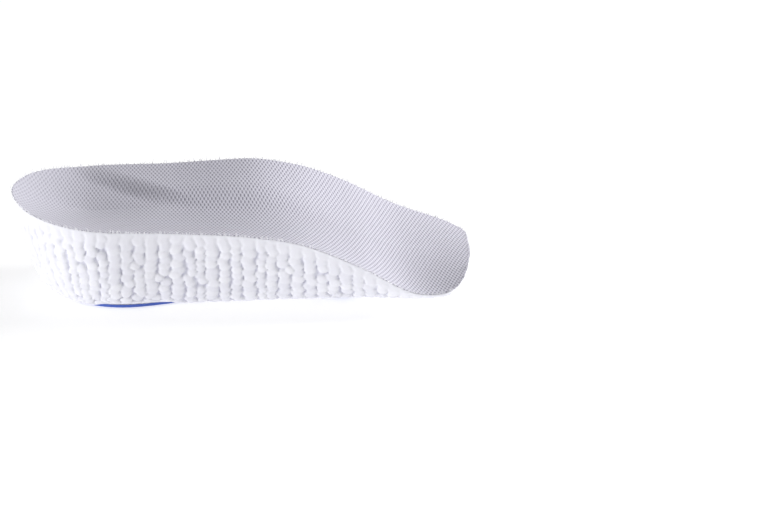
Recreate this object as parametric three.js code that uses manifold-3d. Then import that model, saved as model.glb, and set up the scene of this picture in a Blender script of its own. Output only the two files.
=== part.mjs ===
// Height-raising cushioned insole, three-quarter length, right foot.
//
// A moulded foam wedge carries a mesh cover on its dished top, stuck down with
// an adhesive film.  A moulded heel pad with a ribbed tail sits in a recess in
// the sole, on an adhesive film of its own.
//
// Millimetres.  +X runs from heel to toe, +Y to the inner (medial) side of the
// foot, +Z up.  The drawing coordinates start at the back of the heel; the last
// lines move the whole insole so that its origin is at the bottom centre.
import * as THREE from 'three';
import { mergeVertices } from 'three/addons/utils/BufferGeometryUtils.js';
import Module from 'manifold-3d';

// ---- overall sizes ----
const LENGTH = 179.6;
const HEEL_LATERAL = 33.8;      // half widths, outer side
const WAIST_LATERAL = 31.9;
const ARCH_LATERAL = 33.3;
const BALL_LATERAL = 37.1;
const FRONT_LATERAL = 37.9;
const HEEL_MEDIAL = 31.5;       // half widths, inner side
const WAIST_MEDIAL = 32.5;
const ARCH_MEDIAL = 32.8;
const BALL_MEDIAL = 39;
const HEEL_HEIGHT = 41.9;       // top of the heel rim above the floor
const FRONT_SETBACK = 13;       // how far the outer front corner lies behind the inner one
const FRONT_RETREAT = 0.5;      // the front outline's points, back from the full length
const HEEL_TURN_AT = 0.0445;    // where the heel's round end turns, as a share of the length
const HEEL_TURN_WIDTH = 0.65;   // its width there, as a share of the heel's

// ---- the dished top ----
const SPINE_START = 29.5;       // ends of the line that the dish is lowest along
const SPINE_END = LENGTH - 21.5;
const SPINE_BEND = 0.5;         // how far that line follows the middle between the sides
const DISH_POWER = 2.2;         // above 2 keeps the middle flat and turns up at the rim
const ARCH_X = 38.8;            // a point on the slope between the heel cup and the arch support
const ARCH_Y = 19.9;
const ARCH_TURN = THREE.MathUtils.degToRad(53);  // the way it climbs, from +X to +Y
const ARCH_SLOPE = 6;           // half that slope's width
const ARCH_RISE = 0.8;          // share of the dish's depth that the arch support fills

// ---- the layers ----
const COVER_THICKNESS = 1.1;
const COVER_INSET = 0.5;        // cover edge in from the foam rim
const COVER_FILM = 0.3;
const COVER_FILM_INSET = 1.5;
const GAP = 0.3;                // clearance between neighbouring layers

// ---- the moulded insert and its recess ----
const INSERT_TIP = 17.1;        // back of the heel pad, from the back of the heel
const PAD_CENTRE = 43;          // widest place of the heel pad
const PAD_LATERAL = 20.5;
const PAD_MEDIAL = 18.3;
const TAIL_LATERAL = 11.5;      // half widths at the tail's narrowest places
const TAIL_MEDIAL = 2.6;
const TAIL_LATERAL_AT = 98;     // where those narrowest places are
const TAIL_MEDIAL_AT = 113;
const TAIL_END = 128.6;
const TAIL_END_LATERAL = 21.8;
const TAIL_END_MEDIAL = 3.3;
const TAIL_CORNER = 4.5;        // radius of the outer corner at the tail's end
const WAIST_EASE = 0.85;        // below 1 narrows the waist sooner after the pad
const INSERT_PROUD = 1.2;       // how far the insert stands below the foam
const INSERT_EDGE = 0.5;        // bevel round its lower edge
const INSERT_THICKNESS = 3;
const INSERT_CLEARANCE = 0.3;   // between the insert's side and the recess wall
const INSERT_FILM = 0.3;
const INSERT_FILM_INSET = 1;
const SPINE_FROM_TIP = 8;       // its middle line's ends, in from the insert's own
const SPINE_FROM_END = 6;

// ---- the grooves moulded into the insert ----
const GROOVE_COUNT = 6;
const GROOVE_FIRST = 78;
const GROOVE_PITCH = 8.35;
const GROOVE_WIDTH = 2.8;
const GROOVE_DEPTH = 0.6;
const GROOVE_MARGIN_LATERAL = 1.9;
const GROOVE_MARGIN_MEDIAL = 3.8;
const ARC_RADIUS = 24.6;        // inner edge of the arc groove in front of the pad
const ARC_WIDTH = 2.1;
const ARC_CENTRE_X = 44;
const ARC_CENTRE_Y = -3;
const ARC_FROM = -31;           // degrees, outer end
const ARC_TO = 33;              // degrees, inner end

// ---- mesh fineness ----
const RIM_POINTS = 72;
const TOP_RINGS = 8;
const SOLE_RINGS = 4;
const WALL_RINGS = 7;
const INSERT_POINTS = 72;
const INSERT_RINGS = 3;
const OVAL_POINTS = Math.round(INSERT_POINTS * 0.19);   // on each side of the pad's oval end
const END_CROWDING = 1.6;       // above 1 sets the insert's points closer towards its end
const ARC_STEPS = 14;
const GROOVE_STEPS = 4;

const lerp = THREE.MathUtils.lerp;
const clamp = THREE.MathUtils.clamp;
const smoothstep = THREE.MathUtils.smoothstep;

// ---------------------------------------------------------------- curves ----

// Smooth height curve through [x, height] stations: a cubic Hermite whose slopes
// are those between each station's neighbours, and level where the height turns
// back or stays level, so that a level stretch stays flat.
function stationCurve(stations) {
  const slope = (from, to) => (to[1] - from[1]) / (to[0] - from[0]);
  const last = stations.length - 1;
  const slopes = stations.map((station, i) => {
    if (i === 0) return slope(stations[0], stations[1]);
    if (i === last) return slope(stations[last - 1], stations[last]);
    const before = slope(stations[i - 1], station);
    const after = slope(station, stations[i + 1]);
    if (before * after <= 0) return 0;
    const spanBefore = station[0] - stations[i - 1][0];
    const spanAfter = stations[i + 1][0] - station[0];
    return (before * spanAfter + after * spanBefore) / (spanBefore + spanAfter);
  });
  return (position) => {
    const x = clamp(position, stations[0][0], stations[last][0]);
    let i = 0;
    while (i < last - 1 && x > stations[i + 1][0]) i += 1;
    const span = stations[i + 1][0] - stations[i][0];
    const t = (x - stations[i][0]) / span;
    const t2 = t * t;
    const t3 = t2 * t;
    return (2 * t3 - 3 * t2 + 1) * stations[i][1]
      + (t3 - 2 * t2 + t) * span * slopes[i]
      + (3 * t2 - 2 * t3) * stations[i + 1][1]
      + (t3 - t2) * span * slopes[i + 1];
  };
}

// Points evenly spread, in the curve's own parameter, along a closed smooth curve.
function closedOutline(points, count) {
  const vectors = points.map(([x, y]) => new THREE.Vector3(x, y, 0));
  const curve = new THREE.CatmullRomCurve3(vectors, true, 'catmullrom', 0.5);
  return Array.from({ length: count }, (_, i) => {
    const p = curve.getPoint(i / count);
    return [p.x, p.y];
  });
}

// --------------------------------------------------------- insole surfaces ----

const front = LENGTH - FRONT_RETREAT;
const outerCorner = LENGTH - FRONT_SETBACK;

// Top outline, from the back of the heel along the outer side, across the front
// and back along the inner side.
const rimOutline = closedOutline([
  [0, 0],
  [HEEL_TURN_AT * LENGTH, -HEEL_TURN_WIDTH * HEEL_LATERAL],
  [0.156 * LENGTH, -HEEL_LATERAL],
  [0.334 * LENGTH, -WAIST_LATERAL],
  [0.529 * LENGTH, -ARCH_LATERAL],
  [0.724 * LENGTH, -BALL_LATERAL],
  [outerCorner - 10.5, -FRONT_LATERAL],
  [outerCorner + 1.5, -0.826 * FRONT_LATERAL],
  [front - 3.1, -0.15 * FRONT_LATERAL],
  [front + 0.1, 0.492 * BALL_MEDIAL],
  [front - 0.9, 0.84 * BALL_MEDIAL],
  [front - 14.6, BALL_MEDIAL],
  [0.735 * LENGTH, BALL_MEDIAL],
  [0.54 * LENGTH, ARCH_MEDIAL],
  [0.334 * LENGTH, WAIST_MEDIAL],
  [0.156 * LENGTH, HEEL_MEDIAL],
  [HEEL_TURN_AT * LENGTH, HEEL_TURN_WIDTH * HEEL_MEDIAL],
], RIM_POINTS);

// Heights above the floor along the insole, in millimetres.
const lateralRim = stationCurve([
  [0, HEEL_HEIGHT],
  [0.167 * LENGTH, 38.4],
  [0.334 * LENGTH, 35.5],
  [0.501 * LENGTH, 33.2],
  [0.612 * LENGTH, 29.9],
  [0.724 * LENGTH, 21.6],
  [0.835 * LENGTH, 11.1],
  [LENGTH, 10.8],
]);
const medialRim = stationCurve([
  [0, HEEL_HEIGHT],
  [0.167 * LENGTH, 38],
  [0.334 * LENGTH, 38.2],
  [0.501 * LENGTH, 39.6],
  [0.612 * LENGTH, 35.4],
  [0.724 * LENGTH, 26.3],
  [0.835 * LENGTH, 15.4],
  [LENGTH, 5.1],
]);
// Depth of the dish below its rim, along the middle.
const dishDepth = stationCurve([
  [0.167 * LENGTH, 6],
  [0.334 * LENGTH, 3.8],
  [0.501 * LENGTH, 4.3],
  [0.612 * LENGTH, 4.3],
  [0.724 * LENGTH, 3.2],
  [0.835 * LENGTH, 1.2],
  [LENGTH, 0.3],
]);
const lateralSole = stationCurve([
  [0, INSERT_PROUD],
  [0.45 * LENGTH, INSERT_PROUD],
  [0.585 * LENGTH, 2.3],
  [0.78 * LENGTH, 5.3],
  [LENGTH, 6.1],
]);
const medialSole = stationCurve([
  [0, INSERT_PROUD],
  [0.45 * LENGTH, INSERT_PROUD],
  [0.585 * LENGTH, 1.9],
  [0.78 * LENGTH, 2.7],
  [LENGTH, 1.6],
]);
// How much of the half width is the flat sole; the rest is the rounded wall.
const flatShare = stationCurve([
  [0, 0.5],
  [0.223 * LENGTH, 0.645],
  [0.501 * LENGTH, 0.6],
  [0.78 * LENGTH, 0.72],
  [LENGTH, 0.93],
]);

const WALL_FLARE = Math.tan(THREE.MathUtils.degToRad(7.5));
const WALL_SOLE_HANDLE = 0.465; // Bezier handle along the sole, share of the wall's depth
const WALL_RIM_HANDLE = 0.445;  // height of the handle below the rim, share of the wall
const WALL_FLARE_REACH = 12;    // walls shallower than this lose the flare

const sideHalfWidth = (BALL_MEDIAL + FRONT_LATERAL + HEEL_LATERAL + HEEL_MEDIAL) / 4;

// -1 at the outer side, +1 at the inner side.
const side = (y) => clamp(y / sideHalfWidth, -1, 1);
const across = (y, outer, inner) => lerp(outer, inner, (1 + side(y)) / 2);
const rimHeight = (x, y) => across(y, lateralRim(x), medialRim(x));
const soleHeight = (x, y) => across(y, lateralSole(x), medialSole(x));

// The point on the middle line that rim point i is drawn from.  Opposite rim
// points share one, so a surface closes on itself there.
function spinePoint(outline, i, start, end) {
  const opposite = outline[(outline.length - i) % outline.length];
  const x = (outline[i][0] + opposite[0]) / 2;
  const y = (outline[i][1] + opposite[1]) / 2;
  const alongX = outline.map((p) => p[0]);
  const least = Math.min(...alongX);
  const most = Math.max(...alongX);
  return [lerp(start, end, (x - least) / (most - least)), y * SPINE_BEND];
}

const rimSpine = rimOutline.map((_, i) => spinePoint(rimOutline, i, SPINE_START, SPINE_END));

// How much of the arch support stands at x, y, from 0 to 1: it begins past the heel
// cup's front edge, keeps to the inner side and runs out towards the ball.
function archSupport(x, y) {
  const past = (x - ARCH_X) * Math.cos(ARCH_TURN) + (y - ARCH_Y) * Math.sin(ARCH_TURN);
  return smoothstep(past, -ARCH_SLOPE, ARCH_SLOPE) * smoothstep(y, -4, 14) * (1 - smoothstep(x, 80, 135));
}

// Ring of the dished top at share r of the way from the spine to the rim, pulled
// in from the rim by inset and lowered by drop.
function topRing(r, inset, drop) {
  return rimOutline.map(([x, y], i) => {
    const [cx, cy] = rimSpine[i];
    const reach = Math.hypot(x - cx, y - cy);
    const share = r * (1 - inset / reach);
    const px = lerp(cx, x, share);
    const py = lerp(cy, y, share);
    const dip = dishDepth(cx) * (1 - share ** DISH_POWER) * (1 - ARCH_RISE * archSupport(px, py));
    return [px, py, rimHeight(px, py) - dip - drop];
  });
}

// Ring of the flat sole at share r of the way from the spine to the sole's edge.
function soleRing(r) {
  return rimOutline.map(([x, y], i) => {
    const [cx, cy] = rimSpine[i];
    const share = r * flatShare(x);
    const px = lerp(cx, x, share);
    const py = lerp(cy, y, share);
    return [px, py, soleHeight(px, py)];
  });
}

// Ring of the wall at parameter s of the cubic Bezier from the sole's edge (0)
// out and up to the rim (1), which ends drop below the top of the cover.
function wallRing(s, drop) {
  return rimOutline.map(([x, y], i) => {
    const [cx, cy] = rimSpine[i];
    const share = flatShare(x);
    const fx = lerp(cx, x, share);
    const fy = lerp(cy, y, share);
    const depth = Math.hypot(x - fx, y - fy);
    const foot = soleHeight(fx, fy);
    const rise = rimHeight(x, y) - drop - foot;
    const handleOut = WALL_SOLE_HANDLE * depth;
    const handleUp = WALL_RIM_HANDLE * rise;
    const flare = WALL_FLARE * (rise - handleUp) * clamp(depth / WALL_FLARE_REACH, 0, 1);
    const u = 1 - s;
    const out = 3 * u * u * s * handleOut + 3 * u * s * s * (depth - flare) + s ** 3 * depth;
    const up = 3 * u * s * s * handleUp + s ** 3 * rise;
    return [fx + (x - fx) / depth * out, fy + (y - fy) / depth * out, foot + up];
  });
}

// ------------------------------------------------------------ mesh making ----

const shares = (count) => Array.from({ length: count + 1 }, (_, i) => i / count);

// Closed skin through rings of points that run from the underside's middle line
// out, round the edge and in to the top's middle line.
function closedSkin(rings) {
  const count = rings[0].length;
  const index = [];
  for (let ring = 0; ring < rings.length - 1; ring += 1) {
    for (let i = 0; i < count; i += 1) {
      const next = (i + 1) % count;
      const a = ring * count + i;
      const b = ring * count + next;
      const c = (ring + 1) * count + i;
      const d = (ring + 1) * count + next;
      index.push(a, b, d, a, d, c);
    }
  }
  const geometry = new THREE.BufferGeometry();
  geometry.setAttribute('position', new THREE.Float32BufferAttribute(rings.flat(2), 3));
  geometry.setIndex(index);
  return dropSlivers(mergeVertices(geometry, 1e-3));
}

// The two ends of each middle line leave triangles with two equal corners.
function dropSlivers(geometry) {
  const old = geometry.index.array;
  const kept = [];
  for (let i = 0; i < old.length; i += 3) {
    const [a, b, c] = [old[i], old[i + 1], old[i + 2]];
    if (a !== b && b !== c && c !== a) kept.push(a, b, c);
  }
  geometry.setIndex(kept);
  return geometry;
}

const wasm = await Module();
wasm.setup();

function toSolid(geometry) {
  return new wasm.Manifold(new wasm.Mesh({
    numProp: 3,
    vertProperties: new Float32Array(geometry.attributes.position.array),
    triVerts: new Uint32Array(geometry.index.array),
  }));
}

function toGeometry(solid) {
  const mesh = solid.getMesh();
  const geometry = new THREE.BufferGeometry();
  geometry.setAttribute('position', new THREE.BufferAttribute(mesh.vertProperties, 3));
  geometry.setIndex(new THREE.BufferAttribute(mesh.triVerts, 1));
  return geometry;
}

// Solid over a closed outline, between two height functions of x and y.  Each
// level is [inset from the outline, height function], from the lowest up.
function slab(outline, spine, levels, ringCount = INSERT_RINGS) {
  const ring = (r, inset, height) => outline.map(([x, y], i) => {
    const [cx, cy] = spine[i];
    const reach = Math.hypot(x - cx, y - cy);
    const share = r * (1 - inset / reach);
    const px = lerp(cx, x, share);
    const py = lerp(cy, y, share);
    return [px, py, height(px, py)];
  });
  const [lowest, topmost] = [levels[0], levels[levels.length - 1]];
  return closedSkin([
    ...shares(ringCount).map((r) => ring(r, ...lowest)),
    ...levels.slice(1).map((level) => ring(1, ...level)),
    ...shares(ringCount).reverse().slice(1).map((r) => ring(r, ...topmost)),
  ]);
}

// ------------------------------------------------------------ the insert ----

// Half width along the insert: from the pad, eased down to the tail's narrowest
// place, then flaring out again as a parabola to its end.
function waistedEdge(pad, narrow, narrowAt, end) {
  return (x) => {
    if (x > narrowAt) {
      const flare = (x - narrowAt) / (TAIL_END - narrowAt);
      return lerp(narrow, end, flare * flare);
    }
    const fall = clamp((x - PAD_CENTRE) / (narrowAt - PAD_CENTRE), 0, 1) ** WAIST_EASE;
    return lerp(narrow, pad, (1 + Math.cos(Math.PI * fall)) / 2);
  };
}

// Outline of the insert, grown sideways by grow: an oval heel pad that narrows
// to a tail, with a square end whose outer corner is rounded.
function insertOutline(grow) {
  const tip = INSERT_TIP - grow;
  const end = TAIL_END + grow;
  const outer = waistedEdge(PAD_LATERAL, TAIL_LATERAL, TAIL_LATERAL_AT, TAIL_END_LATERAL);
  const inner = waistedEdge(PAD_MEDIAL, TAIL_MEDIAL, TAIL_MEDIAL_AT, TAIL_END_MEDIAL);
  const half = INSERT_POINTS / 2;
  const edge = (curve, width, sign) => {
    const points = [];
    for (let i = 1; i < half; i += 1) {
      if (i <= OVAL_POINTS) {
        const turn = (i / OVAL_POINTS) * Math.PI / 2;
        const reach = PAD_CENTRE - tip;
        points.push([PAD_CENTRE - reach * Math.cos(turn), sign * width * Math.sin(turn)]);
      } else {
        const left = 1 - (i - OVAL_POINTS) / (half - 1 - OVAL_POINTS);
        const x = lerp(end, PAD_CENTRE, left ** END_CROWDING);
        const intoCorner = sign < 0 ? clamp(x - (end - TAIL_CORNER), 0, TAIL_CORNER) : 0;
        const rounding = TAIL_CORNER - Math.sqrt(TAIL_CORNER ** 2 - intoCorner ** 2);
        points.push([x, sign * (curve(x) + grow - rounding)]);
      }
    }
    return points;
  };
  const outerEdge = edge(outer, PAD_LATERAL + grow, -1);
  const innerEdge = edge(inner, PAD_MEDIAL + grow, 1);
  const endMiddle = [end, (outerEdge.at(-1)[1] + innerEdge.at(-1)[1]) / 2];
  return [[tip, 0], ...outerEdge, endMiddle, ...innerEdge.reverse()];
}

// Middle line of an insert outline, which stops short of both its ends.
function insertSpine(outline) {
  return outline.map((point, i) => {
    const opposite = outline[(outline.length - i) % outline.length];
    const x = clamp(point[0], INSERT_TIP + SPINE_FROM_TIP, TAIL_END - SPINE_FROM_END);
    return [x, (point[1] + opposite[1]) / 2];
  });
}

const insertBottom = (x, y) => soleHeight(x, y) - INSERT_PROUD;
const insertTop = (x, y) => insertBottom(x, y) + INSERT_THICKNESS;
const above = (height, distance) => (x, y) => height(x, y) + distance;

// Half widths of the insert at x, used to place the grooves across its tail.
function tailEdges(outline, x) {
  const reach = (points) => {
    for (let i = 0; i < points.length - 1; i += 1) {
      const [from, to] = [points[i], points[i + 1]];
      if ((from[0] - x) * (to[0] - x) <= 0 && from[0] !== to[0]) {
        return lerp(from[1], to[1], (x - from[0]) / (to[0] - from[0]));
      }
    }
    return points.at(-1)[1];
  };
  const half = INSERT_POINTS / 2;
  return { outer: reach(outline.slice(0, half)), inner: reach(outline.slice(half + 1)) };
}

// Cutter for a groove whose centre line is a list of points: a band of the
// groove's width that reaches up from below the insert to the groove's floor.
function grooveCutter(centreLine, width) {
  const left = [];
  const right = [];
  centreLine.forEach(([x, y], i) => {
    const before = centreLine[Math.max(i - 1, 0)];
    const after = centreLine[Math.min(i + 1, centreLine.length - 1)];
    const run = Math.hypot(after[0] - before[0], after[1] - before[1]);
    const nx = -(after[1] - before[1]) / run * width / 2;
    const ny = (after[0] - before[0]) / run * width / 2;
    left.push([x - nx, y - ny]);
    right.push([x + nx, y + ny]);
  });
  const start = centreLine[0];
  const finish = centreLine.at(-1);
  const outline = [start, ...left, finish, ...right.reverse()];
  const spine = [start, ...centreLine, finish, ...[...centreLine].reverse()];
  const floor = above(insertBottom, GROOVE_DEPTH);
  const below = above(insertBottom, -INSERT_PROUD);
  const ring = (share, height) => outline.map(([x, y], i) => {
    const px = lerp(spine[i][0], x, share);
    const py = lerp(spine[i][1], y, share);
    return [px, py, height(px, py)];
  });
  return toSolid(closedSkin([ring(0, below), ring(1, below), ring(1, floor), ring(0, floor)]));
}

function tailGrooves(outline) {
  const cutters = [];
  for (let i = 0; i < GROOVE_COUNT; i += 1) {
    const x = GROOVE_FIRST + i * GROOVE_PITCH;
    const { outer, inner } = tailEdges(outline, x);
    const from = outer + GROOVE_MARGIN_LATERAL;
    const to = inner - GROOVE_MARGIN_MEDIAL;
    const line = shares(GROOVE_STEPS).map((t) => [x, lerp(from, to, t)]);
    cutters.push(grooveCutter(line, GROOVE_WIDTH));
  }
  return cutters;
}

function arcGroove() {
  const radius = ARC_RADIUS + ARC_WIDTH / 2;
  const line = shares(ARC_STEPS).map((t) => {
    const angle = THREE.MathUtils.degToRad(lerp(ARC_FROM, ARC_TO, t));
    return [ARC_CENTRE_X + radius * Math.cos(angle), ARC_CENTRE_Y + radius * Math.sin(angle)];
  });
  return grooveCutter(line, ARC_WIDTH);
}

// --------------------------------------------------------------- the parts ----

const insole = new THREE.Group();

function addPart(name, geometry, look) {
  const faceted = geometry.toNonIndexed();
  faceted.computeVertexNormals();
  const mesh = new THREE.Mesh(faceted, new THREE.MeshStandardMaterial(look));
  mesh.name = name;
  insole.add(mesh);
}

const filmDrop = COVER_THICKNESS + GAP;
const foamDrop = filmDrop + COVER_FILM + GAP;

// Moulded bead-foam wedge: flat sole, rounded walls, dished top, and the recess
// that takes the insert.
function foamWedge() {
  const skin = closedSkin([
    ...shares(SOLE_RINGS).map(soleRing),
    ...shares(WALL_RINGS).slice(1).map((s) => wallRing(s, foamDrop)),
    ...shares(TOP_RINGS).reverse().slice(1).map((r) => topRing(r, 0, foamDrop)),
  ]);
  const outline = insertOutline(INSERT_CLEARANCE);
  const recessDepth = INSERT_THICKNESS - INSERT_PROUD + GAP + INSERT_FILM + GAP;
  const recess = slab(outline, insertSpine(outline), [
    [0, above(soleHeight, -4 * INSERT_PROUD)],
    [0, above(soleHeight, recessDepth)],
  ]);
  return toGeometry(toSolid(skin).subtract(toSolid(recess)));
}

// A layer that follows the dished top, between two depths below its surface.
function topLayer(inset, upperDrop, lowerDrop) {
  return closedSkin([
    ...shares(TOP_RINGS).map((r) => topRing(r, inset, lowerDrop)),
    ...shares(TOP_RINGS).reverse().map((r) => topRing(r, inset, upperDrop)),
  ]);
}

// Moulded heel pad and tail, with bevelled lower edge and grooves in its underside.
function supportInsert() {
  const outline = insertOutline(0);
  const body = slab(outline, insertSpine(outline), [
    [INSERT_EDGE, insertBottom],
    [0, above(insertBottom, INSERT_EDGE)],
    [0, insertTop],
  ]);
  const cutters = [...tailGrooves(outline), arcGroove()];
  return toGeometry(cutters.reduce((solid, cutter) => solid.subtract(cutter), toSolid(body)));
}

function insertFilm() {
  const outline = insertOutline(0);
  const underside = above(insertTop, GAP);
  return slab(outline, insertSpine(outline), [
    [INSERT_FILM_INSET, underside],
    [INSERT_FILM_INSET, above(underside, INSERT_FILM)],
  ]);
}

addPart('foam_wedge', foamWedge(), { color: 0xf1f3f8, roughness: 0.6, metalness: 0 });
addPart('top_cover', topLayer(COVER_INSET, 0, COVER_THICKNESS),
  { color: 0xc4c2c9, roughness: 0.95, metalness: 0 });
addPart('cover_bond_film', topLayer(COVER_FILM_INSET, filmDrop, filmDrop + COVER_FILM),
  { color: 0xe9e4d2, roughness: 0.4, metalness: 0 });
addPart('support_insert', supportInsert(), { color: 0x3c57b4, roughness: 0.55, metalness: 0 });
addPart('insert_bond_film', insertFilm(), { color: 0xe9e4d2, roughness: 0.4, metalness: 0 });

// Origin at the bottom centre of the insole's box; the pad's underside is at 0.
const rimBox = new THREE.Box2().setFromPoints(rimOutline.map(([x, y]) => new THREE.Vector2(x, y)));
const rimCentre = rimBox.getCenter(new THREE.Vector2());
insole.position.set(-rimCentre.x, -rimCentre.y, 0);

export default insole;
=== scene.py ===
from math import radians

import bmesh
import bpy
import numpy as np
from mathutils import Matrix, Vector


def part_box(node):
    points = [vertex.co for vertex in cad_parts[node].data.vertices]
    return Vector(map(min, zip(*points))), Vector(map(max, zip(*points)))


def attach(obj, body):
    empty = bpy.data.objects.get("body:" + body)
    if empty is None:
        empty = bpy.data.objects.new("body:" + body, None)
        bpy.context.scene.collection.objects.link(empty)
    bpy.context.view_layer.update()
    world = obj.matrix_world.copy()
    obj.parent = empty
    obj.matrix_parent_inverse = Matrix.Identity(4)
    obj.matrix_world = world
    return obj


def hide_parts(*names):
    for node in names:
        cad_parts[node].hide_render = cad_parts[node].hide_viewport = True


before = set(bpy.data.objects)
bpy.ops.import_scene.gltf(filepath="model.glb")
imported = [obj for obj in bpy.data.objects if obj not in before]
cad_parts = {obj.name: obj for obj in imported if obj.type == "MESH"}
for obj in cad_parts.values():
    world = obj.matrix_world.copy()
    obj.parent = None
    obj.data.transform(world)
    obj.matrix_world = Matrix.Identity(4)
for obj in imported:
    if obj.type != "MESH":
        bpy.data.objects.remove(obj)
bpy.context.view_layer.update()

# ---- camera ----------------------------------------------------------------
# A product camera with a long lens, 0.8 m off on the outer side of the insole,
# looking down over its rim at a place in its front third.
AIM = Vector((0.0552, 0.0, 0.0067))
DISTANCE = 0.8
AZIMUTH = radians(-6.72)
ELEVATION = radians(24.49)
ROLL = radians(0.98)

camera = bpy.data.objects.new("product_camera", bpy.data.cameras.new("product_camera"))
camera.data.sensor_width = 36
camera.data.lens = 93.6
turn = Matrix.Rotation(AZIMUTH, 3, "Z") @ Matrix.Rotation(radians(90) - ELEVATION, 3, "X")
camera.rotation_euler = (turn @ Matrix.Rotation(ROLL, 3, "Z")).to_euler()
camera.location = AIM + turn @ Vector((0, 0, DISTANCE))
bpy.context.scene.collection.objects.link(camera)
bpy.context.scene.camera = camera

# ---- foam wedge: its form --------------------------------------------------
# One moulding of fused foam beads, 180 mm long, which lifts the heel by 32 mm
# and thins to a soft edge under the ball of the foot. Its top is dished, its
# walls are rounded into a flat sole, and a pocket in the sole takes the insert.
MM = 0.001
wedge_low, wedge_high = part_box("foam_wedge")
LENGTH = (wedge_high.x - wedge_low.x) / MM
HEEL_BACK = wedge_low.x / MM
POINTS_ROUND = 840             # about 0.53 mm apart along the rim
SIDE_REACH = 35.5              # half width at which a side height holds in full
COVER_THICKNESS = 1.1
RECESS_DEPTH = 2.7
INSERT_PROUD = 1.2
INSERT_CLEARANCE = 0.3
BED_DROP = 2.0                 # foam bed under the cover and its film, below the cover's top
LIP_DROP = 0.38                # foam rim, just under the pressed edge of the cover
LIP_WIDTH = 1.4                # from the rim to the foam bed
HEEL_RIM = 41.9
ARCH_START = (38.8, 19.9)      # a point on the slope from the heel cup to the arch support
ARCH_FACING = (0.602, 0.799)   # the way it climbs, to the toes and the inner side
ARCH_SLOPE = 6                 # half that slope's width
ARCH_RISE = 0.8                # share of the dish's depth that the arch support fills
ARCH_SIDE = (-4, 14)           # y where it begins, and where it has its full height
ARCH_FRONT = (80, 135)         # x where it begins to die away, and where it is gone
HEEL_RELIEF = 1.2              # extra height of the sole beside the heel pad
SPINE_BACK = 29.5              # ends of the top's middle line: from the back of the heel
SPINE_FRONT = 21.5             # and from the front edge
DISH_POWER = 2.2               # above 2, a bowl's, keeps the dish flat for longer
WALL_LEAN = radians(7.5)       # off upright, where the wall meets the rim
LEAN_DEPTH = 12                # a wall that stands out less than this leans less
WALL_FOOT = 0.465              # first control point's way out, as a share of the wall's depth
WALL_KNEE = 0.445              # second control point's height, as a share of the wall's rise


def station_curve(stations):
    """Height along the insole through (share of the length, height) pairs: a cubic
    Hermite curve whose slope at a pair is the weighted mean of the slopes on both
    sides of it, and zero where they differ in sign."""
    shares, heights = np.array(stations, float).T
    places = shares * LENGTH
    spans = np.diff(places)
    rises = np.diff(heights) / spans
    slopes = np.concatenate([rises[:1], np.zeros(len(rises) - 1), rises[-1:]])
    weighted = (rises[:-1] * spans[1:] + rises[1:] * spans[:-1]) / (spans[:-1] + spans[1:])
    slopes[1:-1] = np.where(rises[:-1] * rises[1:] > 0, weighted, 0)

    def height(x):
        x = np.clip(x, places[0], places[-1])
        i = np.clip(np.searchsorted(places, x, side="right") - 1, 0, len(spans) - 1)
        t = (x - places[i]) / spans[i]
        start = (2 * t**3 - 3 * t**2 + 1) * heights[i] + (t**3 - 2 * t**2 + t) * spans[i] * slopes[i]
        end = (3 * t**2 - 2 * t**3) * heights[i + 1] + (t**3 - t**2) * spans[i] * slopes[i + 1]
        return start + end

    return height


def smooth_loop(points, count):
    """Closed Catmull-Rom curve: each stretch is the cubic that passes through its two
    points and is parallel, at each, to the line between that point's neighbours."""
    p = np.array(points, float)
    t = np.arange(count) / count * len(p)
    i = t.astype(int)
    f = (t - i)[:, None]
    a, b, c, d = (p[(i + k) % len(p)] for k in (-1, 0, 1, 2))
    return 0.5 * (2 * b + (c - a) * f + (2 * a - 5 * b + 4 * c - d) * f**2
                  + (3 * b - a - 3 * c + d) * f**3)


def even_steps(line, count):
    """The line's points moved to equal distances along it."""
    along = np.concatenate([[0], np.cumsum(np.linalg.norm(np.diff(line, axis=0), axis=1))])
    wanted = np.linspace(0, along[-1], count)
    return np.stack([np.interp(wanted, along, line[:, k]) for k in range(line.shape[1])], 1)


def even_loop(loop):
    """A closed loop respaced evenly on each side, from its first point, at the heel,
    to the point halfway round, and back."""
    half = len(loop) // 2
    out = even_steps(loop[:half + 1], POINTS_ROUND // 2 + 1)
    back = even_steps(np.vstack([loop[half:], loop[:1]]), POINTS_ROUND // 2 + 1)
    return np.vstack([out[:-1], back[:-1]])


def mix(a, b, share):
    """The value share of the way from a to b."""
    return a + (b - a) * share


def smooth_step(value, low, high):
    """0 below low, 1 above high, and the curve 3t^2 - 2t^3 between them."""
    t = np.clip((value - low) / (high - low), 0, 1)
    return t * t * (3 - 2 * t)


rim = even_loop(smooth_loop([
    (0, 0), (8, -22), (28, -33.8), (60, -31.9), (95, -33.3), (130, -37.1),
    (156.1, -37.9), (168.1, -31.3), (176, -5.7), (179.2, 19.2), (178.2, 32.8),
    (164.5, 39), (132, 39), (97, 32.8), (60, 32.5), (28, 31.5), (8, 20.5),
], 4000))
middle_y = (rim[:, 1].min() + rim[:, 1].max()) / 2
outer_rim_height = station_curve([(0, HEEL_RIM), (0.167, 38.4), (0.334, 35.5), (0.501, 33.2),
                                  (0.612, 29.9), (0.724, 21.6), (0.835, 11.1), (1, 10.8)])
inner_rim_height = station_curve([(0, HEEL_RIM), (0.167, 38), (0.334, 38.2), (0.501, 39.6),
                                  (0.612, 35.4), (0.724, 26.3), (0.835, 15.4), (1, 5.1)])
dish_depth = station_curve([(0.167, 6), (0.334, 3.8), (0.501, 4.3), (0.612, 4.3),
                            (0.724, 3.2), (0.835, 1.2), (1, 0.3)])
outer_sole_height = station_curve([(0, INSERT_PROUD), (0.45, INSERT_PROUD), (0.585, 2.3),
                                   (0.78, 5.3), (1, 6.1)])
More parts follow.
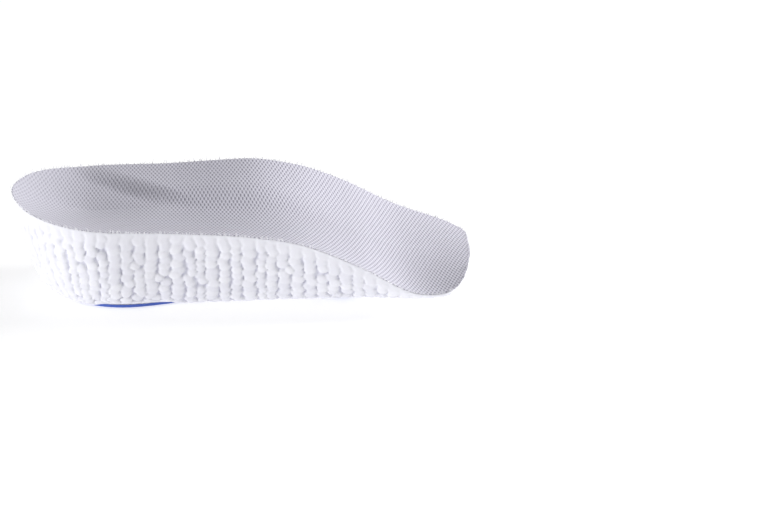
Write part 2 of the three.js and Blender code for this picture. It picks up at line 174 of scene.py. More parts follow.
inner_sole_height = station_curve([(0, INSERT_PROUD), (0.45, INSERT_PROUD), (0.585, 1.9),
                                   (0.78, 2.7), (1, 1.6)])
flat_share = station_curve([(0, 0.5), (0.223, 0.645), (0.501, 0.6), (0.78, 0.72), (1, 0.93)])


def across(y, outer, inner):
    """A value that runs evenly from the outer side's to the inner side's."""
    return mix(outer, inner, (1 + np.clip(y / SIDE_REACH, -1, 1)) / 2)


def rim_height(x, y):
    """Height of the top's rim, carried evenly across the foot."""
    return across(y, outer_rim_height(x), inner_rim_height(x))


def sole_height(x, y):
    """Height of the sole, carried evenly across the foot."""
    return across(y, outer_sole_height(x), inner_sole_height(x))


def heel_relief(x, y):
    """How far the foam beside the outer edge of the heel pad stands above the sole: its
    full height where x is 26 to 55 and y beyond -21, fading to nothing over 12 and 3 mm."""
    beside = smooth_step(x, 14, 26) * (1 - smooth_step(x, 55, 67))
    return HEEL_RELIEF * beside * smooth_step(-y, 18.5, 21.3)


opposite = np.roll(rim[::-1], 1, axis=0)
pair_middle = (rim + opposite) / 2
spine_along = (pair_middle[:, 0] - rim[:, 0].min()) / np.ptp(rim[:, 0])
spine = np.stack([mix(SPINE_BACK, LENGTH - SPINE_FRONT, spine_along), pair_middle[:, 1] / 2], 1)
to_rim = rim - spine
rim_reach = np.linalg.norm(to_rim, axis=1)
sole_edge = spine + to_rim * flat_share(rim[:, 0])[:, None]


def dish_ring(share, inset, drop):
    """Ring at a share of the way from the spine to the rim, less an inset, on the dished
    top: the rim's height there, less the dish's depth times 1 - share^power, less a drop.
    Past the front edge of the heel cup the arch support fills part of the dish."""
    share = share * (1 - inset / rim_reach)
    x, y = (spine + to_rim * share[:, None]).T
    past = (x - ARCH_START[0]) * ARCH_FACING[0] + (y - ARCH_START[1]) * ARCH_FACING[1]
    slope = smooth_step(past, -ARCH_SLOPE, ARCH_SLOPE)
    arch = slope * smooth_step(y, *ARCH_SIDE) * (1 - smooth_step(x, *ARCH_FRONT))
    dip = dish_depth(spine[:, 0]) * (1 - share**DISH_POWER) * (1 - ARCH_RISE * arch)
    return np.stack([x, y, rim_height(x, y) - dip - drop], 1)


def wall_ring(s):
    """Ring of the rounded wall at parameter s of a cubic Bezier curve from the sole's
    edge, which it leaves level, or rising beside the heel pad, to the foam's rim, which
    it reaches almost upright."""
    outward = rim - sole_edge
    depth = np.linalg.norm(outward, axis=1)
    lifted = heel_relief(*sole_edge.T)
    foot = sole_height(*sole_edge.T) + lifted
    rise = rim_height(*rim.T) - LIP_DROP - foot
    knee = WALL_KNEE * rise
    flare = np.tan(WALL_LEAN) * (rise - knee) * np.clip(depth / LEAN_DEPTH, 0, 1)
    u = 1 - s
    out = 3 * u * u * s * WALL_FOOT * depth + 3 * u * s * s * (depth - flare) + s**3 * depth
    up = 3 * u * u * s * 1.6 * lifted + 3 * u * s * s * knee + s**3 * rise
    return np.column_stack([sole_edge + outward / depth[:, None] * out[:, None], foot + up])


# ---- support insert: its outline -------------------------------------------
# An oval heel pad that narrows to a waisted tail. The tail ends square under
# the ball of the foot, with its outer corner rounded. The pocket in the foam
# and the adhesive film follow the same outline.
PAD_CENTRE = 43
PAD_OUTER = 20.5               # half widths of the pad
PAD_INNER = 18.3
OUTER_WAIST = (11.5, 98)       # narrowest half width of the tail, and where it is
INNER_WAIST = (2.6, 113)
WAIST_EASE = 0.85              # below 1 narrows the waist sooner after the pad
OUTER_END = 21.8               # half widths at the tail's end
INNER_END = 3.3
INSERT_TIP = 17.1
TAIL_END = 128.6
TAIL_CORNER = 4.5


def insert_half_width(x, pad, narrow, narrow_at, end):
    """Half width of the insert ahead of the pad's middle: a cosine fall from the pad to
    the narrowest place, then a parabola that opens to the tail's end."""
    fall = np.clip((x - PAD_CENTRE) / (narrow_at - PAD_CENTRE), 0, 1) ** WAIST_EASE
    waist = mix(narrow, pad, (1 + np.cos(np.pi * fall)) / 2)
    flare = np.clip((x - narrow_at) / (TAIL_END - narrow_at), 0, 1)
    return waist + (end - narrow) * flare**2


def insert_edges(x, grow=0.0):
    """Outer and inner edge of the insert at x, as y: a half ellipse behind the pad's
    middle, the waisted tail ahead of it, and a quarter circle at the outer corner."""
    reach = PAD_CENTRE - INSERT_TIP + grow
    oval = np.sqrt(np.clip(1 - np.clip((PAD_CENTRE - x) / reach, 0, 1) ** 2, 0, 1))
    outer = insert_half_width(x, PAD_OUTER, *OUTER_WAIST, OUTER_END) + grow
    inner = insert_half_width(x, PAD_INNER, *INNER_WAIST, INNER_END) + grow
    into = np.clip(x - (TAIL_END + grow - TAIL_CORNER), 0, TAIL_CORNER)
    corner = TAIL_CORNER - np.sqrt(TAIL_CORNER**2 - into**2)
    behind = x < PAD_CENTRE
    return (-np.where(behind, oval * (PAD_OUTER + grow), outer - corner),
            np.where(behind, oval * (PAD_INNER + grow), inner))


def insert_stations(count, grow=0.0):
    """Places along the insert, close together where its tip turns."""
    tip = INSERT_TIP - grow
    turned = tip + (PAD_CENTRE - tip) * (1 - np.cos(np.linspace(0, np.pi / 2, count // 3)))
    ahead = np.linspace(PAD_CENTRE, TAIL_END + grow, count - count // 3)
    return np.concatenate([turned[:-1], ahead])


def insert_loop(grow):
    """The insert's outline as an evenly spaced loop from its tip."""
    x = insert_stations(900, grow)
    outer, inner = insert_edges(x, grow)
    end_middle = [[x[-1], (outer[-1] + inner[-1]) / 2]]
    sides = np.column_stack([x, outer])[1:], np.column_stack([x, inner])[:0:-1]
    return even_loop(np.vstack([[[x[0], 0]], sides[0], end_middle, sides[1]]))


# ---- foam wedge: its beads -------------------------------------------------
# The skin shows the fused beads, 4 to 5 mm across and 3 mm high: knobbly upright
# columns round the heel and outer side, rounder cells on the inner side, and
# flatter beads with small pits between them under the ball.
OUTER_PITCH = 4.45
INNER_PITCH = 4.5
SOLE_PITCH = 4.3
BEAD_STEP = 2.95               # from bead to bead up a column
BEAD_SQUARENESS = 2.7          # above 2, a ball's, flattens a bead's top
LEAST_SPACING = 2.3            # no two bead centres stand nearer
MOST_REACH = 0.66              # and no place is further from one, as a share of the pitch
SEAM_WIDTH = 0.17              # of the grooves between beads, as a share of a bead's reach
PIT_WIDTH = 0.3
SMOOTH_BORDER = 2.4            # plain foam round the insert
TRIM_LINE = 1.7                # a fine groove round the heel pad, this far off the pocket
WALL_RINGS = 92
SOLE_RINGS = 84
VENTS = ((100, 11), (122.5, 11.6), (158.8, -6), (147.5, 18.5))
VENT_RADIUS = 3.0
dice = np.random.default_rng(42)

pocket_loop = insert_loop(INSERT_CLEARANCE)
pocket_opposite = np.roll(pocket_loop[::-1], 1, axis=0)
pocket_spine = np.column_stack([np.clip(pocket_loop[:, 0], INSERT_TIP + 8, TAIL_END - 6),
                                (pocket_loop[:, 1] + pocket_opposite[:, 1]) / 2])


def level_ring(plan, height, rise):
    """Points of a plan, set at a height function's value there plus a rise."""
    return np.column_stack([plan, height(*plan.T) + rise])


def foam_underside(x, y):
    """The sole's height, raised beside the heel pad."""
    return sole_height(x, y) + heel_relief(x, y)


pocket = [level_ring(mix(pocket_spine, pocket_loop, r), sole_height, RECESS_DEPTH)
          for r in (0, 0.25, 0.5, 0.75, 1)]
pocket += [level_ring(pocket_loop, sole_height, rise) for rise in (1.8, 0.9, 0.3)]
sole = [level_ring(mix(pocket_loop, sole_edge, r), foam_underside, 0)
        for r in np.linspace(0, 1, SOLE_RINGS + 1)]
wall = [wall_ring(s) for s in np.linspace(0, 1, WALL_RINGS + 1)[1:]]
skin = np.array(sole + wall)


def column_line(j, rings, window=36):
    """The wall's section in the upright plane square to the rim at its point j: where
    each ring crosses that plane."""
    near = (np.arange(-window, window + 1) + j) % POINTS_ROUND
    tangent = rim[(j + 2) % POINTS_ROUND] - rim[j - 2]
    tangent = tangent / np.linalg.norm(tangent)
    offset = (rings[:, near, :2] - rim[j]) @ tangent
    i = np.abs(offset).argmin(1)
    return rings[np.arange(len(rings)), near[i]], tangent


def column_seeds():
    """Bead centres up the wall: columns spaced along the rim, each with a bead every
    few millimetres of its own length, alternate columns raised by half a bead."""
    wall_lines = np.array([sole[-1]] + wall)
    rim_step = np.linalg.norm(rim - np.roll(rim, 1, axis=0), axis=1).mean()
    seeds, groups, pitches = [], [], []
    at = 0.0
    column = 0
    while at < POINTS_ROUND * rim_step - 0.6 * OUTER_PITCH:
        j = int(at / rim_step)
        x, y = rim[j]
        roundness = float(smooth_step(y, 2, 16) * smooth_step(x, 16, 34))
        pitch = mix(OUTER_PITCH, INNER_PITCH, roundness) * dice.uniform(0.86, 1.14)
        line, tangent = column_line(j, wall_lines)
        up = np.concatenate([[0], np.cumsum(np.linalg.norm(np.diff(line, axis=0), axis=1))])
        step = BEAD_STEP * mix(1.0, 1.35, roundness)
        places = np.arange((0.35 if column % 2 else 0.85) * step, up[-1] + step, step)
        places = places + dice.normal(0, 0.25, len(places))
        centres = np.stack([np.interp(places, up, line[:, k]) for k in range(3)], 1)
        swing = np.where(np.arange(len(places)) % 2, 0.3, -0.3)[:, None] * (1 - roundness)
        centres[:, :2] += tangent * (swing + dice.normal(0, mix(0.4, 0.25, roundness), (len(places), 1)))
        seeds.append(centres)
        own = 1000 * (column + 1) + np.arange(len(places))
        groups.append(np.where(roundness > 0.5, own, column))
        pitches.append(np.full(len(places), pitch))
        at += pitch
        column += 1
    return np.vstack(seeds), np.concatenate(groups), np.concatenate(pitches)


def inside(points, loop):
    """Whether each point lies in a closed loop: whether a ray from it crosses the loop
    an odd number of times."""
    ax, ay = loop.T
    bx, by = np.roll(loop, -1, axis=0).T
    px, py = points[:, :1], points[:, 1:2]
    spans = (ay > py) != (by > py)
    cut = ax + (bx - ax) * (py - ay) / np.where(by == ay, 1, by - ay)
    return (spans & (px < cut)).sum(1) % 2 == 1


def distance_to(points, loop):
    """Distance from each point to the nearest point of a finely spaced loop."""
    return np.concatenate([
        np.sqrt(((part[:, None, :] - loop[None]) ** 2).sum(2).min(1))
        for part in np.array_split(points, max(1, len(points) // 2000))
    ])


def sole_seeds():
    """Bead centres under the sole: rows across it, staggered, kept off the insert."""
    rows = np.arange(10, LENGTH, SOLE_PITCH)
    steps = np.arange(-45, 45, BEAD_STEP)
    x = np.repeat(rows, len(steps)) + dice.normal(0, 0.22, len(rows) * len(steps))
    stagger = np.arange(len(rows)) % 2 * BEAD_STEP / 2
    y = np.tile(steps, len(rows)) + np.repeat(stagger, len(steps))
    y += dice.normal(0, 0.2, len(y))
    plan = np.column_stack([x, y])
    group = 900000 + np.repeat(np.arange(len(rows)), len(steps))
    kept = (inside(plan, sole_edge) & ~inside(plan, pocket_loop)
            & (distance_to(plan, sole_edge) > 0.35 * SOLE_PITCH)
            & (distance_to(plan, pocket_loop) > 0.8 * SMOOTH_BORDER))
    return level_ring(plan[kept], sole_height, 0), group[kept], np.full(kept.sum(), SOLE_PITCH)


def well_spaced(points, least):
    """Which points to keep so that none is nearer than least to one kept before it."""
    kept = np.ones(len(points), bool)
    gaps = np.linalg.norm(points[:, None] - points[None], axis=2)
    for i in range(1, len(points)):
        kept[i] = not (kept[:i] & (gaps[i, :i] < least)).any()
    return kept


def gap_fillers(surface, centres, most):
    """Further bead centres: again and again the place on the surface that is furthest
    from every centre, until none is further than most."""
    off = distance_to(surface, centres)
    added = []
    while off.max() > most:
        added.append(surface[off.argmax()])
        off = np.minimum(off, np.linalg.norm(surface - added[-1], axis=1))
    return np.array(added).reshape(-1, 3)


wall_seed, wall_group, wall_pitch = column_seeds()
sole_seed, sole_group, sole_pitch = sole_seeds()
seed = np.vstack([wall_seed, sole_seed])
seed_group = np.concatenate([wall_group, sole_group])
seed_pitch = np.concatenate([wall_pitch, sole_pitch])
kept = well_spaced(seed, LEAST_SPACING)
wall_sample = skin[SOLE_RINGS - 12:-14:3, ::3].reshape(-1, 3)
extra = gap_fillers(wall_sample, seed[kept], MOST_REACH * OUTER_PITCH)
seed = np.vstack([seed[kept], extra])
seed_group = np.concatenate([seed_group[kept], 800000 + np.arange(len(extra))])
seed_pitch = np.concatenate([seed_pitch[kept], np.full(len(extra), OUTER_PITCH)])
seed_lift = dice.uniform(-1, 1, len(seed))


def bead_field(points):
    """For each point of the skin: its distance from the nearest bead's centre, as a share
    of that bead's reach; how much further off the next column's nearest bead is; how
    far the nearest corner between three beads is; and its bead's own random number."""
    near = ((seed > points.min(0) - 8) & (seed < points.max(0) + 8)).all(1)
    centres, group, pitch, lift = seed[near], seed_group[near], seed_pitch[near], seed_lift[near]
    gaps = np.sqrt(((points[:, None, :] - centres[None]) ** 2).sum(2)) / (0.535 * pitch)
    own = gaps.argmin(1)
    first, second, third = np.partition(gaps, 2, axis=1)[:, :3].T
    others = np.where(group[None] == group[own][:, None], 1e3, gaps).min(1)
    return np.stack([first, others - first, third - first, lift[own]])


# The field is worked out a few columns of the skin at a time, to spare memory.
blocks = np.array_split(np.arange(POINTS_ROUND), 60)
field = np.concatenate([
    bead_field(skin[:, block].reshape(-1, 3)).reshape(4, len(skin), len(block)) for block in blocks
], axis=2)
from_middle, to_column_edge, to_corner, lift = field

# The relief, in mm: a bead's rounding, and the seams, corners or pits between beads.
under_ball = np.zeros(skin.shape[:2])
under_ball[:SOLE_RINGS + 1] = 1
under_ball[SOLE_RINGS + 1:] = 1 - smooth_step(np.arange(WALL_RINGS), 2, 14)[:, None]
under_ball *= smooth_step(skin[:, :, 0], 118, 132)
column_like = 1 - smooth_step(skin[:, :, 1], 0, 16) * smooth_step(skin[:, :, 0], 16, 34)
fall = 1 - (1 - np.clip(from_middle, 0, 0.995) ** BEAD_SQUARENESS) ** (1 / BEAD_SQUARENESS)
seam = np.exp(-(to_column_edge / SEAM_WIDTH) ** 2)
corner = np.exp(-(to_corner / SEAM_WIDTH) ** 2)
pit = np.exp(-(to_corner / PIT_WIDTH) ** 2)
knobbly = -1.0 * fall - 0.3 * seam - 0.25 * corner
pillow = -0.85 * fall - 0.25 * seam
low_bump = -0.4 * fall - 0.5 * pit
relief = mix(mix(pillow, knobbly, column_like), low_bump, under_ball)
relief += 0.07 * lift * (1 - fall)

# Under the rim the beads fade to a smooth band, faintly ribbed on the outer side. It
# is narrower where the wall is low.
wall_step = np.linalg.norm(np.diff(skin[SOLE_RINGS:], axis=0), axis=2)
below_rim = np.zeros(skin.shape[:2]) + 99.0
below_rim[SOLE_RINGS:-1] = np.cumsum(wall_step[::-1], axis=0)[::-1]
below_rim[-1] = 0
wall_height = below_rim[SOLE_RINGS]
band = np.clip(wall_height / 14, 0.25, 1)
rim_fade = smooth_step(below_rim / band, mix(1.2, 2.2, column_like), mix(4.4, 8.5, column_like))
ribs = -0.32 * (1 - smooth_step(to_column_edge, 0, 0.8)) * smooth_step(below_rim, 0.3, 1.2)

# Round the insert the beads fade to a plain border.
flat_skin = skin.reshape(-1, 3)
from_pocket = np.full(len(flat_skin), 99.0)
low = flat_skin[:, 2] < 12
from_pocket[low] = distance_to(flat_skin[low], level_ring(pocket_loop[::2], sole_height, 0))
from_pocket = from_pocket.reshape(skin.shape[:2])
border_fade = smooth_step(from_pocket, SMOOTH_BORDER - 0.5, SMOOTH_BORDER + 0.9)
relief = mix(ribs * column_like, relief, rim_fade) * border_fade

# Vent marks are shallow discs, each in a fine ring.
for vent_x, vent_y in VENTS:
    off = np.hypot(skin[:, :, 0] - vent_x, skin[:, :, 1] - vent_y)
    on_sole = skin[:, :, 2] < 9
    disc = on_sole * (1 - smooth_step(off, VENT_RADIUS - 0.3, VENT_RADIUS + 0.3))
    ring = on_sole * np.exp(-((off - VENT_RADIUS) / 0.35) ** 2)
    relief = mix(relief, 0.25 * relief - 0.08, disc) - 0.14 * ring
by_heel = 1 - smooth_step(skin[:, :, 0], 60, 80)
relief -= 0.16 * (np.exp(-((from_pocket - TRIM_LINE) / 0.22) ** 2) * by_heel)


def ring_normals(rings):
    """Outward normals of a ringed surface: the cross product of the step round each
    ring and the step from ring to ring."""
    round_step = np.roll(rings, -1, axis=1) - np.roll(rings, 1, axis=1)
    ring_step = np.gradient(rings, axis=0)
    normal = np.cross(round_step, ring_step)
    return normal / np.maximum(np.linalg.norm(normal, axis=2, keepdims=True), 1e-9)


beaded = skin + ring_normals(skin) * relief[:, :, None]
lip = [dish_ring(np.ones(POINTS_ROUND), inset, drop) for inset, drop in (
    (0.05, LIP_DROP - 0.06), (0.4, LIP_DROP), (1.0, LIP_DROP), (LIP_WIDTH, BED_DROP))]
bed = [dish_ring(np.full(POINTS_ROUND, r), LIP_WIDTH, BED_DROP) for r in np.linspace(1, 0, 13)[1:]]
foam_rings = np.array(pocket + list(beaded) + lip + bed)


def in_place(points):
    """Drawing millimetres, from the back of the heel, to metres in the frame."""
    return (points + np.array([HEEL_BACK - rim[:, 0].min(), -middle_y, 0])) * MM


def ringed_mesh(name, rings, **numbers):
    """Closed mesh through rings of points. The first and last ring each lie on a middle
    line, where point j and the point as far round the other way are one vertex."""
    rows, count = rings.shape[:2]
    index = np.arange(rows * count).reshape(rows, count)
    folded = np.minimum(np.arange(count), count - np.arange(count))
    index[0] = index[0][folded]
    index[-1] = index[-1][folded]
    a, c = index[:-1], index[1:]
    quads = np.stack([a, np.roll(a, -1, axis=1), np.roll(c, -1, axis=1), c], 2).reshape(-1, 4)
    used, corners = np.unique(quads, return_inverse=True)
    corners = corners.reshape(-1)
    mesh = bpy.data.meshes.new(name)
    mesh.vertices.add(len(used))
    mesh.vertices.foreach_set("co", in_place(rings.reshape(-1, 3)[used]).ravel())
    mesh.loops.add(len(corners))
    mesh.loops.foreach_set("vertex_index", corners.astype(np.int32))
    mesh.polygons.add(len(quads))
    mesh.polygons.foreach_set("loop_start", np.arange(0, len(corners), 4, dtype=np.int32))
    mesh.update(calc_edges=True)
    mesh.shade_smooth()
    for label, values in numbers.items():
        layer = mesh.attributes.new(label, "FLOAT", "POINT")
        layer.data.foreach_set("value", values.reshape(-1)[used].astype(np.float32))
    piece = bpy.data.objects.new(name, mesh)
    bpy.context.scene.collection.objects.link(piece)
    return piece


blank = np.zeros((len(pocket), POINTS_ROUND))
after = np.zeros((len(lip) + len(bed), POINTS_ROUND))
# Painted shade: how deep each point lies in the relief, which greys the foam in its hollows.
hollow_shade_depth = np.clip(-relief / 1.2, 0, 1)
foam = ringed_mesh("bead_foam_wedge", foam_rings,
                   hollow=np.vstack([blank, hollow_shade_depth, after]),
                   bead_tone=np.vstack([blank, lift * rim_fade, after]))


def srgb(code):
    """Linear colour of an sRGB hex code: c/12.92 for dark values, else
    ((c + 0.055)/1.055)^2.4."""
    values = [int(code[i:i + 2], 16) / 255 for i in (1, 3, 5)]
    linear = [v / 12.92 if v <= 0.04045 else ((v + 0.055) / 1.055) ** 2.4 for v in values]
    return (*linear, 1)


def add_node(tree, kind, inputs=None, **settings):
    """Adds a node; inputs maps sockets to values or to the sockets that feed them."""
    node = tree.nodes.new(kind)
    for name, value in settings.items():
        setattr(node, name, value)
    for socket, value in (inputs or {}).items():
        if isinstance(value, bpy.types.NodeSocket):
            tree.links.new(value, node.inputs[socket])
        else:
            node.inputs[socket].default_value = value
    return node


def new_material(name):
    """An empty material: its tree and its Principled shader."""
    material = bpy.data.materials.new(name)
    material.use_nodes = True
    tree = material.node_tree
    return material, tree, tree.nodes["Principled BSDF"]


# Moulded bead foam: a matt closed skin, white with a cool cast, a little light
# passing through it. Painted shade greys it in the hollows between the beads.
foam_material, tree, shader = new_material("moulded bead foam")
place = add_node(tree, "ShaderNodeTexCoord")
tone = add_node(tree, "ShaderNodeAttribute", attribute_name="bead_tone")
hollow = add_node(tree, "ShaderNodeAttribute", attribute_name="hollow")
tone_share = add_node(tree, "ShaderNodeMapRange", {"Value": tone.outputs["Fac"], "From Min": -1.0})
bead_colour = add_node(tree, "ShaderNodeMix", {"Factor": tone_share.outputs[0],
                                               "A": srgb("#E6E6EF"),
                                               "B": srgb("#EEEEF5")}, data_type="RGBA")
# Painted shade: the deeper the relief, the more of the grey #C4C4D6 is mixed into the bead colour.
hollow_share = add_node(tree, "ShaderNodeMapRange", {"Value": hollow.outputs["Fac"],
                                                     "From Min": 0.3, "To Max": 0.8})
foam_colour_and_shade = add_node(tree, "ShaderNodeMix", {"Factor": hollow_share.outputs[0],
                                               "A": bead_colour.outputs["Result"],
                                               "B": srgb("#C4C4D6")}, data_type="RGBA")
cells = add_node(tree, "ShaderNodeTexNoise", {"Vector": place.outputs["Object"],
                                              "Scale": 1 / (1.1 * MM), "Detail": 3.0})
skin_bump = add_node(tree, "ShaderNodeBump", {"Height": cells.outputs["Fac"], "Strength": 0.25,
                                              "Distance": 0.12 * MM})
tree.links.new(foam_colour_and_shade.outputs["Result"], shader.inputs["Base Color"])
tree.links.new(skin_bump.outputs["Normal"], shader.inputs["Normal"])
shader.inputs["Roughness"].default_value = 0.55
shader.inputs["IOR"].default_value = 1.45
shader.inputs["Subsurface Weight"].default_value = 0.06
shader.inputs["Subsurface Radius"].default_value = (1.0, 0.95, 1.05)
shader.inputs["Subsurface Scale"].default_value = 1.2 * MM
foam.data.materials.append(foam_material)
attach(foam, "root")
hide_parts("foam_wedge")

# ---- top cover -------------------------------------------------------------
# Light grey mesh knit, 1.1 mm thick, moulded with the foam, pressed thin at the
# rim and cut flush there. Small open holes stand in staggered rows across it.
COVER_INSET = 0.15
EDGE_THICKNESS = 0.32          # where the mould presses the cloth's cut edge
EDGE_WIDTH = 0.06              # of that pressed edge, as a share of the way to the middle
HOLE_SPACING = 1.49            # along the foot
ROW_SPACING = 1.79             # from row to row across it


def cover_thickness(share):
    """The cloth's thickness at a share of the way from the spine to the rim: full, but
    falling evenly to the pressed edge's over the last of it."""
    return mix(EDGE_THICKNESS, COVER_THICKNESS, np.clip((1 - share) / EDGE_WIDTH, 0, 1))


whole = np.ones(POINTS_ROUND)
under = [dish_ring(whole * r, COVER_INSET, cover_thickness(r))
         for r in (0, 0.2, 0.4, 0.6, 0.8, 0.94, 0.97)]
edge = [dish_ring(whole, COVER_INSET + inset, drop) for inset, drop in (
    (0.2, EDGE_THICKNESS), (0, EDGE_THICKNESS - 0.1), (0, 0.16), (0.06, 0.06), (0.2, 0))]
upper = [dish_ring(whole * r, COVER_INSET, 0) for r in np.linspace(0.985, 0, 58)]
cover_rings = np.array(under + edge + upper)
profile_x = np.linspace(0, LENGTH, 600)
profile_z = (outer_rim_height(profile_x) + inner_rim_height(profile_x)) / 2
cloth_run = np.concatenate([[0], np.cumsum(np.hypot(np.diff(profile_x), np.diff(profile_z)))])
cover = ringed_mesh("mesh_top_cover", cover_rings,
                    cloth_x=np.interp(cover_rings[:, :, 0], profile_x, cloth_run),
                    cloth_y=cover_rings[:, :, 1])

# Warp-knit polyester mesh: dull light grey yarn with a violet cast, each open
# hole ringed by raised stitches; the grey in the holes is painted shade. The holes
# are fainter towards the heel. Fine noise gives the yarn's own twist.
cover_material, tree, shader = new_material("grey mesh knit")
cloth_x = add_node(tree, "ShaderNodeAttribute", attribute_name="cloth_x")
cloth_y = add_node(tree, "ShaderNodeAttribute", attribute_name="cloth_y")
cloth = add_node(tree, "ShaderNodeCombineXYZ", {"X": cloth_x.outputs["Fac"],
                                                "Y": cloth_y.outputs["Fac"]})
waves = []
for tilt in (1, -1):
    direction = (1 / HOLE_SPACING, tilt / (2 * ROW_SPACING), 0)
    phase = add_node(tree, "ShaderNodeVectorMath", {0: cloth.outputs["Vector"], 1: direction},
                     operation="DOT_PRODUCT")
    turns = add_node(tree, "ShaderNodeMath", {0: phase.outputs["Value"], 1: 2 * np.pi},
                     operation="MULTIPLY")
    waves.append(add_node(tree, "ShaderNodeMath", {0: turns.outputs[0]}, operation="COSINE"))
lattice = add_node(tree, "ShaderNodeMath", {0: waves[0].outputs[0], 1: waves[1].outputs[0]},
                   operation="ADD")
hole = add_node(tree, "ShaderNodeMapRange", {"Value": lattice.outputs[0],
                                             "From Min": -0.8, "From Max": 1.95},
                interpolation_type="SMOOTHSTEP")
openness = add_node(tree, "ShaderNodeMapRange", {"Value": cloth_x.outputs["Fac"],
                                                 "From Min": 5.0, "From Max": 75.0,
                                                 "To Min": 0.45, "To Max": 1.0})
hole = add_node(tree, "ShaderNodeMath", {0: hole.outputs[0], 1: openness.outputs[0]},
                operation="MULTIPLY")
yarn = add_node(tree, "ShaderNodeTexNoise", {"Vector": cloth.outputs["Vector"],
                                             "Scale": 2.6, "Detail": 2.0})
drift = add_node(tree, "ShaderNodeTexNoise", {"Vector": cloth.outputs["Vector"], "Scale": 0.06})
yarn_colour = add_node(tree, "ShaderNodeMix", {"Factor": yarn.outputs["Fac"], "A": srgb("#BEBCCA"),
                                               "B": srgb("#E4E2ED")}, data_type="RGBA")
drift_colour = add_node(tree, "ShaderNodeMix", {"Factor": drift.outputs["Fac"], "B": srgb("#D3D2DC"),
                                                "A": yarn_colour.outputs["Result"]}, data_type="RGBA")
# Painted shade: the hole pattern is real, and its grey #A7A4B4 stands in for the shade inside each hole.
cloth_colour_and_shade = add_node(tree, "ShaderNodeMix", {"Factor": hole.outputs[0], "B": srgb("#A7A4B4"),
                                                "A": drift_colour.outputs["Result"]}, data_type="RGBA")
stitch = add_node(tree, "ShaderNodeMath", {0: yarn.outputs["Fac"], 1: 0.35, 2: 1.0},
                  operation="MULTIPLY_ADD")
relief_height = add_node(tree, "ShaderNodeMath", {0: stitch.outputs[0], 1: hole.outputs[0]},
                         operation="SUBTRACT")
knit_bump = add_node(tree, "ShaderNodeBump", {"Height": relief_height.outputs[0], "Strength": 0.8,
                                              "Distance": 0.22 * MM})
tree.links.new(cloth_colour_and_shade.outputs["Result"], shader.inputs["Base Color"])
tree.links.new(knit_bump.outputs["Normal"], shader.inputs["Normal"])
shader.inputs["Roughness"].default_value = 0.9
shader.inputs["Specular IOR Level"].default_value = 0.25
shader.inputs["Sheen Weight"].default_value = 0.15
cover.data.materials.append(cover_material)
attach(cover, "root")
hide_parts("top_cover")

# ---- top cover: its cut yarn ends ------------------------------------------
# Where the blade cut the cloth, ends of its polyester yarn stand out of the edge
# all round, two to each stitch and up to 2 mm long. They are part of the cloth.
TUFT_SPACING = 0.75            # from stitch to stitch along the edge
YARN_RADIUS = 0.16
YARN_TAPER = 0.6               # share of the radius lost at the tip
YARN_LEVELS = np.array([0, 0.35, 0.7, 1.0])
SHORTEST_END = 0.4
LONGEST_END = 1.9

cut_line = edge[3]
edge_length = POINTS_ROUND * np.linalg.norm(rim - np.roll(rim, 1, axis=0), axis=1).mean()
yarn_count = int(2 * edge_length / TUFT_SPACING)
yarn_at = np.repeat(np.arange(yarn_count // 2) * 2 * POINTS_ROUND / yarn_count, 2)
yarn_at = (yarn_at + dice.normal(0, 0.45, len(yarn_at))) % POINTS_ROUND
closed = np.vstack([cut_line, cut_line[:1]])
root = np.stack([np.interp(yarn_at, np.arange(POINTS_ROUND + 1), closed[:, k]) for k in range(3)], 1)
outward = (to_rim / rim_reach[:, None])[yarn_at.astype(int) % POINTS_ROUND]
root += np.column_stack([outward * 0.12, np.full(len(root), -0.3)])
lean = dice.normal(0, 0.45, len(yarn_at))[:, None]
along = np.column_stack([-outward[:, 1], outward[:, 0]])
end_length = SHORTEST_END + (LONGEST_END - SHORTEST_END) * dice.uniform(0, 1, len(yarn_at)) ** 2
start_way = np.column_stack([outward * 0.15 + along * lean * 0.5, np.full(len(yarn_at), 1.0)])
droop = dice.normal(-0.1, 0.15, len(yarn_at))
bend = np.column_stack([along * lean * 0.6 + outward * 0.15, droop])


def yarn_mesh(name):
    """Three-sided tapering tubes: each follows root + length (t way + t^2 bend), with its
    corners at thirds of a turn about it, and is closed at both ends."""
    t = YARN_LEVELS[None, :, None]
    centre = root[:, None] - 0.1 * start_way[:, None] + end_length[:, None, None] * (
        t * start_way[:, None] + t * t * bend[:, None])
    angles = np.arange(3) * 2 * np.pi / 3
    across_yarn = np.column_stack([along, np.zeros(len(along))])
    second = np.cross(start_way, across_yarn)
    second = second / np.linalg.norm(second, axis=1, keepdims=True)
    ring = (np.cos(angles)[None, :, None] * across_yarn[:, None]
            + np.sin(angles)[None, :, None] * second[:, None])
    radius = YARN_RADIUS * (1 - YARN_TAPER * YARN_LEVELS)
    points = centre[:, :, None] + ring[:, None] * radius[None, :, None, None]
    count, levels = len(root), len(YARN_LEVELS)
    index = np.arange(count * levels * 3).reshape(count, levels, 3)
    a, c = index[:, :-1], index[:, 1:]
    quads = np.stack([a, np.roll(a, -1, axis=2), np.roll(c, -1, axis=2), c], 3).reshape(-1, 4)
    caps = np.vstack([index[:, 0, ::-1], index[:, -1]])
    mesh = bpy.data.meshes.new(name)
    mesh.from_pydata(in_place(points.reshape(-1, 3)), [], quads.tolist() + caps.tolist())
    mesh.shade_smooth()
    piece = bpy.data.objects.new(name, mesh)
    bpy.context.scene.collection.objects.link(piece)
    return piece


yarn_ends = yarn_mesh("cover_yarn_ends")

